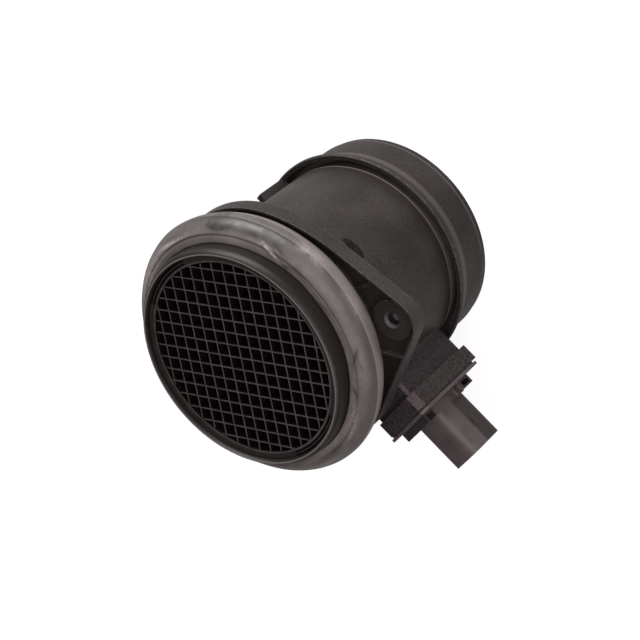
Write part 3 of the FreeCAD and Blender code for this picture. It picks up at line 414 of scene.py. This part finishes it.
class Housing(Finish):
    """The duct's finish, with the masks of its parts: 1 on the part and 0 off it."""

    def __init__(self):
        super().__init__("housing_plastic", HOUSING_TONE, 0.45)
        self.height = self.axis("Z")
        self.from_axis = self.radius()
        self.from_bolt = self.bolt_distance()
        self.collar = self.ramp(self.height, SEAL_BACK, SEAL_BACK + COLLAR_FADE)
        self.stain = self.stain_mask()
        self.tower = self.tower_mask()
        self.hole = self.ramp(self.from_bolt, BOLT_HOLE_R + 0.1 * MM, BOLT_HOLE_R + 0.2 * MM, 1.0, 0.0)
        self.rounded = self.rounded_edge(0.35 * MM)

    def bolt_distance(self):
        """Distance from the nearer bolt hole's own axis."""
        across = self.minus(self.math("ABSOLUTE", self.axis("X")), BOLT_X)
        along = self.minus(self.math("ABSOLUTE", self.axis("Y")), BOLT_Y)
        return self.length(across, along)

    def stain_mask(self):
        """Rounded stain on the tube, broken up by a fine pattern."""
        along = self.math("DIVIDE", self.minus(self.angle(), STAIN_ANGLE), STAIN_TURN)
        across = self.math("DIVIDE", self.minus(self.height, STAIN_HEIGHT), STAIN_TALL)
        square = self.math("ADD", self.times(along, along), self.times(across, across))
        broken = self.ramp(self.noise(0.8 * MM), 0.3, 0.6, 0.5, 1.0)
        return self.times(self.ramp(square, 0.6, 1.2, 1.0, 0.0), broken)

    def tower_mask(self):
        """The tower that carries the module, between the spigot's collar and the flange."""
        return self.times(
            self.ramp(self.axis("X"), TOWER_SIDE + 3 * MM, TOWER_SIDE),
            self.ramp(self.height, TOWER_LOW - 0.6 * MM, TOWER_LOW),
            self.ramp(self.height, FLANGE_BACK, FLANGE_BACK - 0.6 * MM),
        )

    def open_end_shade_mask(self):
        """Painted shade on the open end of the spigot's collar."""
        return self.times(
            self.ramp(self.from_axis, COLLAR_R, COLLAR_R + 0.3 * MM),
            self.facing("Z"),
            self.band(self.height, COLLAR_OPEN, 0.5 * MM),
        )

    def groove_light_mask(self):
        """Painted light in the groove between the tube and the spigot's collar, which is made paler."""
        return self.times(
            self.ramp(self.height, COLLAR_OPEN - 0.2 * MM, COLLAR_OPEN - 0.6 * MM),
            self.ramp(self.from_axis, COLLAR_R + 0.2 * MM, COLLAR_R),
            self.ramp(self.height, COLLAR_OPEN - GROOVE_LIGHT_DEPTH, COLLAR_OPEN - GROOVE_LIGHT_DEPTH + 1 * MM),
        )

    def tower_colour(self):
        """Rough and pitted, with a painted highlight on the smooth corner between the tower's front and
        its side.
        """
        pits = self.ramp(self.noise(0.9 * MM, detail=3.0, roughness=0.7), 0.40, 0.58)
        pitted = self.mix(pits, tone(TOWER_TONE, 0.6), tone(TOWER_TONE, 1.45))
        # Painted highlight on the smooth corner that faces the camera.
        corner = self.times(self.ramp(self.facing("Z"), 0.25, 0.6), self.ramp(self.facing("Y"), -0.25, -0.6))
        return self.mix(corner, pitted, tone(TOWER_TONE, 3.4))

    def colour(self):
        """The moulding's colour before wear, with painted shade on the collar's open end and in the bolt
        holes, painted light in the groove and painted highlights on the tower's corner and round the bolt
        holes.
        """
        colour = self.clouded(self.noise(14 * MM, detail=4.0), HOUSING_TONE)
        speck = self.ramp(self.noise(0.9 * MM, detail=1.0), 0.60, 0.74)
        colour = self.mix(self.times(speck, 0.35), colour, tone(HOUSING_TONE, 1.9))
        colour = self.mix(self.collar, colour, tone(HOUSING_TONE, 0.5))
        # Painted shade on the collar's open end.
        colour = self.mix(self.times(self.open_end_shade_mask(), 0.6), colour, tone(HOUSING_TONE, 0.4))
        colour = self.mix(self.stain, colour, tone(HOUSING_TONE, 0.2))
        # Painted light: the groove is made paler.
        colour = self.mix(self.groove_light_mask(), colour, tone(HOUSING_TONE, 3.0))
        colour = self.mix(self.tower, colour, self.tower_colour())
        # Painted highlight: a pale ring round each bolt hole.
        countersink_highlight = self.band(self.from_bolt, COUNTERSINK_R, 0.45 * MM)
        colour = self.mix(self.times(countersink_highlight, 0.35), colour, tone(HOUSING_TONE, 2.4))
        # Painted shade: the bolt holes' walls are made near black.
        return self.mix(self.times(self.hole, 0.9), colour, tone(HOUSING_TONE, 0.1))

    def wear_and_highlights_mask(self):
        """Pale wear on the edges, and painted highlights on the lines that the picture shows thin and
        bright: the tube's end, the outlet's step, the inlet rim and one side of the rim's top.
        """
        scraped = self.ramp(self.noise(2 * MM, detail=4.0), 0.4, 0.62, 0.2, 0.9)
        below = self.ramp(self.height, SEAL_BACK, SEAL_BACK + COLLAR_FADE, 0.8, 0.1)
        wear = self.times(self.edge_mask(self.rounded), scraped, below)
        # Painted highlight: a thin bright line where the tube ends at the collar's groove.
        tube_end_highlight = self.times(self.band(self.height, COLLAR_OPEN, 0.35 * MM),
                               self.band(self.from_axis, TUBE_R, 0.4 * MM), 0.8)
        # Painted highlight along the outlet's step.
        outlet_step_highlight = self.band(self.height, OUTLET_STEP, 0.5 * MM)
        # Painted highlights: a line on the inlet rim's inner edge, and a paler side of the rim's top.
        rim_highlight_line = self.times(self.band(self.from_axis, RIM_R, 0.3 * MM),
                              self.ramp(self.height, INLET_END - 0.6 * MM, INLET_END - 0.2 * MM))
        rim_top_highlight = self.times(self.band(self.angle(), RIM_TOP_ANGLE, RIM_TOP_TURN),
                             self.ramp(self.height, INLET_END - 0.8 * MM, INLET_END - 0.2 * MM, 0.0, 0.3))
        return self.most(wear, tube_end_highlight, outlet_step_highlight, rim_highlight_line, rim_top_highlight)

    def gloss(self):
        """Strength of the mirroring: sparkling grain below the inlet collar, and duller on the dark
        side, the spigot, the inlet collar and the stain and in the bolt holes."""
        clouds = self.ramp(self.noise(22 * MM, detail=3.0), 0.36, 0.64, 0.40, 0.58)
        sparkle = self.ramp(self.noise(0.7 * MM), 0.32, 0.68, 0.65, 1.4)
        sparkle = self.times(self.minus(sparkle, 1.0), self.minus(1.0, self.collar))
        grained = self.times(clouds, self.math("ADD", sparkle, 1.0))
        dark_side = self.times(self.band(self.angle(), DARK_SIDE_ANGLE, DARK_SIDE_TURN),
                               self.ramp(self.height, DARK_SIDE_TOP, DARK_SIDE_LOW, 0.0, 0.35))
        spigot = self.ramp(self.height, COLLAR_OPEN + 0.4 * MM, COLLAR_OPEN, 0.0, 0.25)
        dulled = self.most(dark_side, spigot)
        matt = self.most(self.times(self.hole, 0.9), self.times(self.collar, 0.4),
                         self.times(self.stain, 0.75))
        return self.times(grained, self.minus(1.0, dulled), self.minus(1.0, matt))

    def grained_normal(self):
        """Fine grain, faint on the inlet collar, and coarse roughness on the tower."""
        strength = self.ramp(self.height, SEAL_BACK, SEAL_BACK + COLLAR_FADE, 1.0, 0.1)
        fine = self.bump(self.noise(0.45 * MM, roughness=0.6), 0.08 * MM, self.rounded, strength)
        return self.bump(self.noise(0.9 * MM, detail=3.0, roughness=0.7), 1.0 * MM, fine, self.tower)


def housing_finish():
    """Black glass-filled moulding: fine spark-eroded grain, rough on the tower, pale on worn edges, with
    painted highlights and painted shade.
    """
    plastic = Housing()
    plastic.set("Base Color", plastic.mix(plastic.wear_and_highlights_mask(), plastic.colour(), tone(WEAR_AND_HIGHLIGHT_TONE)))
    plastic.set("Roughness", plastic.most(plastic.times(plastic.tower, 0.6), 0.46))
    plastic.set("Specular IOR Level", plastic.gloss())
    plastic.set("Normal", plastic.grained_normal())
    return plastic.material


def module_finish():
    """Black moulding of the plug-in module: even grain, pale worn edges. The block's two ends, beside
    the shroud, take painted shade, and so does the half of the shroud that lies towards the outlet."""
    plastic = Finish("module_plastic", MODULE_TONE, 0.45)
    rounded = plastic.rounded_edge(0.3 * MM)
    clouds = plastic.noise(8 * MM, detail=4.0)
    x, z = plastic.axis("X"), plastic.axis("Z")
    beside = plastic.math("ABSOLUTE", plastic.minus(z, PLUG_Z))
    recess_shade = plastic.times(
        plastic.ramp(x, BLOCK_BACK, BLOCK_BACK - 0.2 * MM),
        plastic.ramp(x, BLOCK_FRONT - 0.2 * MM, BLOCK_FRONT - 0.1 * MM),
        plastic.ramp(beside, PLUG_HALF, PLUG_HALF + 0.6 * MM),
    )
    shaded = plastic.times(plastic.ramp(x, BLOCK_FRONT + 0.2 * MM, BLOCK_FRONT - 0.4 * MM),
                           plastic.ramp(z, PLUG_Z + 1.6 * MM, PLUG_Z))
    scraped = plastic.ramp(plastic.noise(3 * MM), 0.35, 0.6, 0.2, 0.7)
    wear = plastic.times(plastic.edge_mask(rounded), scraped)
    colour = plastic.clouded(clouds, MODULE_TONE)
    # Painted shade on the block's two ends beside the shroud.
    colour = plastic.mix(plastic.times(recess_shade, 0.85), colour, tone(MODULE_TONE, 0.15))
    # Painted shade on the shroud's half towards the outlet.
    colour = plastic.mix(plastic.times(shaded, 0.75), colour, tone(MODULE_TONE, 0.3))
    plastic.set("Base Color", plastic.mix(wear, colour, tone(MODULE_TONE, 2.2)))
    plastic.set("Specular IOR Level", plastic.ramp(shaded, 0.0, 1.0, 0.5, 0.3))
    plastic.set("Roughness", plastic.ramp(clouds, 0.3, 0.7, 0.40, 0.48))
    plastic.set("Normal", plastic.bump(plastic.noise(0.5 * MM, roughness=0.6), 0.05 * MM, rounded, 0.6))
    return plastic.material


def grid_finish():
    """Black flow grid, dusty and pale on the front edges of its bars."""
    plastic = Finish("grid_plastic", GRID_TONE, 0.5)
    dust = plastic.times(
        plastic.ramp(plastic.facing("Z"), 0.6, 0.9),
        plastic.ramp(plastic.axis("Z"), GRID_BARS - 0.4 * MM, GRID_BARS - 0.2 * MM),
        plastic.ramp(plastic.radius(), BARS_R, BARS_R + 0.4 * MM, 1.0, 0.25),
        plastic.ramp(plastic.noise(4 * MM, detail=3.0), 0.3, 0.7, 0.6, 1.0),
    )
    plastic.set("Base Color", plastic.mix(dust, tone(GRID_TONE), tone(DUST_TONE)))
    plastic.set("Specular IOR Level", plastic.ramp(plastic.facing("Z"), 0.3, 0.8, 0.12, 0.4))
    rounded = plastic.rounded_edge(0.12 * MM)
    plastic.set("Normal", plastic.bump(plastic.noise(0.6 * MM), 0.05 * MM, rounded, 0.5))
    return plastic.material


def seal_finish():
    """Grey-brown rubber with dust, dark greasy smudges and fine scratches, a painted highlight on its
    side and painted shade on its face and in its crease. Where they lie is stored on the ring itself:
    smudge, scuff, side and shade."""
    rubber = Finish("seal_rubber", RUBBER_TONE, 0.5)
    clouds = rubber.noise(10 * MM, detail=5.0, roughness=0.6)
    colour = rubber.mix(rubber.ramp(clouds, 0.36, 0.64), tone(RUBBER_TONE, 0.85), tone(RUBBER_TONE, 1.12))
    mottle = rubber.ramp(rubber.noise(2.2 * MM, detail=3.0), 0.42, 0.62)
    colour = rubber.mix(rubber.times(mottle, 0.3), colour, tone(RUBBER_TONE, 0.66))
    # Painted highlight on the ring's outer side, in fine streaks round the ring.
    streaks = rubber.ramp(rubber.lines(rubber.axis("Z"), 0.5 * MM), 0.35, 0.6, 0.45, 1.0)
    colour = rubber.mix(rubber.times(rubber.painted("side"), streaks), colour, tone(RUBBER_TONE, 1.3))
    # Painted shade on the face towards its outer edge, with a thin painted shadow line along the edge.
    colour = rubber.mix(rubber.painted("shade"), colour, tone(RUBBER_TONE, 0.42))
    breaks = rubber.ramp(rubber.noise(2.5 * MM, detail=4.0), 0.3, 0.55, 0.65, 1.0)
    # Dark smudges, together with painted shade in the crease.
    colour = rubber.mix(rubber.times(rubber.painted("smudge_and_crease_shade"), breaks), colour, tone(RUBBER_TONE, 0.2))
    scratches = rubber.ramp(rubber.noise(1.2 * MM, detail=3.0), 0.35, 0.6, 0.4, 1.0)
    colour = rubber.mix(rubber.times(rubber.painted("scuff"), scratches), colour, tone(RUBBER_TONE, 2.3))
    rubber.set("Base Color", colour)
    rubber.set("Roughness", rubber.ramp(clouds, 0.3, 0.7, 0.34, 0.50))
    skin = rubber.bump(rubber.noise(1.1 * MM, detail=3.0), 0.06 * MM, None, 0.5)
    rubber.set("Normal", rubber.bump(rubber.noise(6 * MM), 0.3 * MM, skin, 0.5))
    return rubber.material


def plain_finish(name, colour, roughness, grain, metallic=0.0, stretch=(1.0, 1.0, 1.0)):
    """Small inner piece: its colour with a faint cloud, and a grain of the given size and direction."""
    made = Finish(name, colour, roughness)
    made.set("Metallic", metallic)
    clouds = made.ramp(made.noise(3 * MM, detail=3.0), 0.35, 0.65)
    made.set("Base Color", made.mix(clouds, tone(colour, 0.82), tone(colour)))
    rounded = made.rounded_edge(0.1 * MM)
    made.set("Normal", made.bump(made.noise(grain, stretch=stretch), grain * 0.05, rounded, 0.5))
    return made.material


def bulged_side(start, end, bulge, count):
    """Points from start towards end on an arc of radius bulge that stands out to the right of the way
    there, or on the straight line where bulge is 0. The end itself belongs to the next side."""
    part = np.arange(count) / count
    start, end = np.array(start), np.array(end)
    along = end - start
    chord = np.hypot(*along)
    line = start + part[:, None] * along
    if bulge == 0.0:
        return line
    outward = np.array([along[1], -along[0]]) / chord
    depth = math.sqrt(bulge ** 2 - chord ** 2 / 4)
    offset = (part - 0.5) * chord
    return line + outward * (np.sqrt(bulge ** 2 - offset ** 2) - depth)[:, None]


def seal_profile(count, softness):
    """The ring's section as count points at even steps round its outline, with its corners rounded off
    by a weighted mean of each point's neighbours over a distance of about softness millimetres."""
    corners = [(r, h) for r, h, _ in SEAL_SECTION]
    sides = [
        bulged_side(corners[i], corners[(i + 1) % len(corners)], SEAL_SECTION[i][2], SIDE_STEPS)
        for i in range(len(corners))
    ]
    outline = np.concatenate(sides)
    closed = np.vstack([outline, outline[:1]])
    run = np.concatenate([[0.0], np.cumsum(np.hypot(*np.diff(closed, axis=0).T))])
    even = np.arange(count) * run[-1] / count
    points = np.column_stack([np.interp(even, run, closed[:, k]) for k in (0, 1)])
    step = run[-1] / count
    reach = int(3 * softness / step) + 1
    shifts = np.arange(-reach, reach + 1)
    weights = bell(shifts * step, 0.0, softness)
    weights /= weights.sum()
    return sum(w * np.roll(points, s, axis=0) for w, s in zip(weights, shifts))


def bell(value, middle, wide):
    """1 at middle, falling off smoothly over a distance of about wide."""
    return np.exp(-0.5 * ((value - middle) / wide) ** 2)


def faded_in(value, start, distance):
    """0 up to start, 1 from the given distance beyond it."""
    return np.clip((value - start) / distance, 0.0, 1.0)


def spots(table, angle, radius):
    """Sum of the table's soft spots at each point of the ring."""
    total = 0.0
    for strength, at_angle, at_radius, wide, tall, lean in table:
        across = radius - at_radius
        round_by = (angle - at_angle - lean * across + 180.0) % 360.0 - 180.0
        total = total + strength * np.exp(-0.5 * ((round_by / wide) ** 2 + (across / tall) ** 2))
    return total


def grid_faces(rows, columns):
    """Quads of a surface that closes on itself both ways, rows round by columns along."""
    row = np.arange(rows)[:, None]
    column = np.arange(columns)[None, :]
    next_row = (row + 1) % rows
    next_column = (column + 1) % columns
    corners = [row * columns + column, next_row * columns + column,
               next_row * columns + next_column, row * columns + next_column]
    return np.stack(corners, axis=-1).reshape(-1, 4)


def new_piece(name, points, faces, material):
    """A smooth mesh object at the origin."""
    mesh = bpy.data.meshes.new(name)
    mesh.from_pydata(points.reshape(-1, 3).tolist(), [], faces.tolist())
    mesh.update()
    mesh.materials.append(material)
    mesh.shade_smooth()
    piece = bpy.data.objects.new(name, mesh)
    bpy.context.scene.collection.objects.link(piece)
    return piece


def paint(piece, name, values):
    """Stores one number for each vertex, kept from 0 to 1, for the piece's own material."""
    layer = piece.data.attributes.new(name, "FLOAT", "POINT")
    layer.data.foreach_set("value", np.clip(values, 0.0, 1.0).astype(np.float32).ravel())


def seal_points(profile, theta):
    """Surface of the ring: its section, turned about the duct's axis. The free outer surface moves
    along its own normal by a few low waves, dents and a moulding line, and the lip round the collar
    stands a little higher or lower here and there."""
    tangent = np.roll(profile, -1, axis=0) - np.roll(profile, 1, axis=0)
    normal = np.column_stack([tangent[:, 1], -tangent[:, 0]])
    normal /= np.hypot(*normal.T)[:, None]
    degrees = np.degrees(theta)
    radius, height = profile[:, 0][None, :], profile[:, 1][None, :]

    # Only the surface that touches nothing moves, fading in from where the ring meets the duct.
    free = faded_in(radius, HELD_R, SEAL_FADE) * faded_in(height, HELD_HEIGHT, SEAL_FADE)
    waves = sum(tall * np.sin(count * theta + phase) for tall, count, phase in WAVES) - WAVES_SET_IN
    moulding_line = EDGE_DEPTH * bell(height, EDGE_HEIGHT, 0.2) * (radius > EDGE_R)
    dents = (height > FRONT_HEIGHT) * spots(DENTS, degrees, radius)
    lift = free * (waves - moulding_line + dents)
    rise = spots(LIP_RISES, degrees, radius) * faded_in(height, LIP_HEIGHT, SEAL_FADE)
    r = (radius + lift * normal[:, 0][None, :]) * MM
    z = SEAL_BACK + (height + rise + lift * normal[:, 1][None, :]) * MM
    return np.stack([r * np.cos(theta), r * np.sin(theta), z], axis=-1)


def paint_seal(piece, profile, theta):
    """Numbers for the rubber's finish: smudges and scuffs on the front, painted shade in the crease, the
    painted highlight of the side, and the painted shade of a face that grows darker towards its edge,
    where a thin painted shadow line parts it from the side."""
    degrees = np.degrees(theta)
    radius, height = profile[:, 0][None, :], profile[:, 1][None, :]
    all_round = np.ones_like(theta)
    front = height > FRONT_HEIGHT
    # Painted shade along the crease, stored with the smudges.
    crease = bell(radius, CREASE_R, 0.35) * (height > LIP_HEIGHT)
    outside = faded_in(radius, SIDE_R, 1.5) * faded_in(height, SIDE_LOW, 1.0)
    # Painted shade: the face darkens towards its outer edge, and a thin painted shadow line runs along it.
    dark_face = 0.85 * bell(height, SHADE_HEIGHT, 2.4) * (height > SIDE_TOP)
    edge_shadow_line = 0.9 * bell(height, EDGE_HEIGHT, 0.17)
    paint(piece, "smudge_and_crease_shade", (spots(SMUDGES, degrees, radius) + 0.35 * crease) * front)
    paint(piece, "scuff", spots(SCUFFS, degrees, radius) * front)
    # Painted highlight on the ring's outer side.
    paint(piece, "side", faded_in(SIDE_TOP - height, 0.0, 0.3) * outside * all_round)
    paint(piece, "shade", (dark_face + edge_shadow_line) * outside * all_round)


def make_seal(material):
    """The rubber ring, in the place of its CAD solid."""
    profile = seal_profile(SECTION_STEPS, CORNER_SOFTNESS)
    theta = (np.arange(RING_STEPS) * 2 * math.pi / RING_STEPS)[:, None]
    faces = grid_faces(RING_STEPS, SECTION_STEPS)
    piece = new_piece("inlet_seal_rubber", seal_points(profile, theta), faces, material)
    paint_seal(piece, profile, theta)
    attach(piece, "root")
    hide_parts("inlet_seal")


def dress_nodes(finishes):
    """Every CAD node takes the finish of its slot in the record."""
    for part in frame["record"]["subparts"]:
        node = frame["nodes"][part["node"]]
        node.data.materials.clear()
        node.data.materials.append(finishes[part["material_slot"]])


def make_floor():
    """Pale floor under the outlet's rim: it keeps the shadow, shows near white to the camera, and is
    a weaker white in what the plastic mirrors."""
    surface = Finish("studio_floor", FLOOR_TONE, 0.9)
    light_path = surface.node("ShaderNodeLightPath")
    seen = surface.times(light_path.outputs["Is Camera Ray"], FLOOR_GLOW)
    mirrored = surface.times(light_path.outputs["Is Glossy Ray"], FLOOR_MIRRORED)
    glow = surface.node("ShaderNodeEmission")
    surface.feed(glow.inputs["Strength"], surface.math("ADD", seen, mirrored))
    both = surface.node("ShaderNodeAddShader")
    surface.feed(both.inputs[0], surface.shader.outputs["BSDF"])
    surface.feed(both.inputs[1], glow.outputs["Emission"])
    output = surface.tree.nodes["Material Output"]
    surface.feed(output.inputs["Surface"], both.outputs["Shader"])
    side = FLOOR_SIDE / 2
    corners = np.array([(-side, -side, 0.0), (side, -side, 0.0), (side, side, 0.0), (-side, side, 0.0)])
    floor = new_piece("floor", corners, np.array([[0, 1, 2, 3]]), surface.material)


def make_camera():
    lens = bpy.data.cameras.new("camera")
    lens.lens = CAMERA_LENS
    lens.sensor_width = CAMERA_SENSOR
    lens.clip_start = CAMERA_NEAR
    lens.clip_end = CAMERA_FAR
    stand = Matrix((CAMERA_RIGHT, CAMERA_UP, CAMERA_BACK)).transposed().to_4x4()
    stand.translation = CAMERA_PLACE
    camera = bpy.data.objects.new("camera", lens)
    camera.matrix_world = stand
    bpy.context.scene.collection.objects.link(camera)
    bpy.context.scene.camera = camera


def softbox(name, toward, wide, high, power, tint):
    """Soft area lamp of its own width and height, facing the sensor from the direction toward."""
    lamp = bpy.data.lights.new(name, "AREA")
    lamp.shape = "RECTANGLE"
    lamp.size = wide
    lamp.size_y = high
    lamp.energy = power
    lamp.color = tint
    holder = bpy.data.objects.new(name, lamp)
    back = toward.normalized()
    holder.rotation_mode = "QUATERNION"
    holder.rotation_quaternion = back.to_track_quat("Z", "Y")
    holder.location = LAMP_AIM + back * LAMP_DISTANCE
    bpy.context.scene.collection.objects.link(holder)


def make_world():
    """Weak light from all round, which only the camera sees as white."""
    world = bpy.data.worlds.new("studio")
    world.use_nodes = True
    bpy.context.scene.world = world
    tree = world.node_tree
    background = tree.nodes["Background"]
    background.inputs["Color"].default_value = tone(WORLD_TINT)
    path = tree.nodes.new("ShaderNodeLightPath")
    seen = tree.nodes.new("ShaderNodeMapRange")
    seen.inputs["To Min"].default_value = WORLD_LIGHT
    seen.inputs["To Max"].default_value = WORLD_SEEN
    tree.links.new(path.outputs["Is Camera Ray"], seen.inputs["Value"])
    tree.links.new(seen.outputs["Result"], background.inputs["Strength"])


def make_light():
    """Soft studio light: a long low box at the top left of the picture, a smaller one by the camera
    and a weak one from the lower right."""
    for lamp in LAMPS:
        softbox(*lamp)
    make_world()


# Finishes by the record's material slots.
finishes = {
    "housing_plastic": housing_finish(),
    "module_plastic": module_finish(),
    "grid_plastic": grid_finish(),
    "seal_rubber": seal_finish(),
    "ring_rubber": plain_finish("ring_rubber", (0.03, 0.03, 0.03), 0.45, 0.6 * MM),
    "base_metal": plain_finish("base_metal", (0.72, 0.73, 0.74), 0.35, 0.4 * MM, 1.0, (1.0, 1.0, 12.0)),
    "board_ceramic": plain_finish("board_ceramic", (0.75, 0.78, 0.76), 0.5, 0.5 * MM),
    "chip_plastic": plain_finish("chip_plastic", (0.03, 0.03, 0.032), 0.5, 0.3 * MM),
    "element_glass": plain_finish("element_glass", (0.16, 0.17, 0.20), 0.12, 0.8 * MM),
    "pin_metal": plain_finish("pin_metal", (0.78, 0.77, 0.74), 0.25, 0.3 * MM, 1.0, (10.0, 1.0, 1.0)),
    "lead_metal": plain_finish("lead_metal", (0.60, 0.60, 0.60), 0.3, 0.2 * MM, 1.0),
    "bead_glass": plain_finish("bead_glass", (0.08, 0.06, 0.045), 0.15, 0.6 * MM),
}

dress_nodes(finishes)
make_seal(finishes["seal_rubber"])
make_floor()
make_camera()
make_light()
bpy.context.scene.view_settings.view_transform = "Standard"
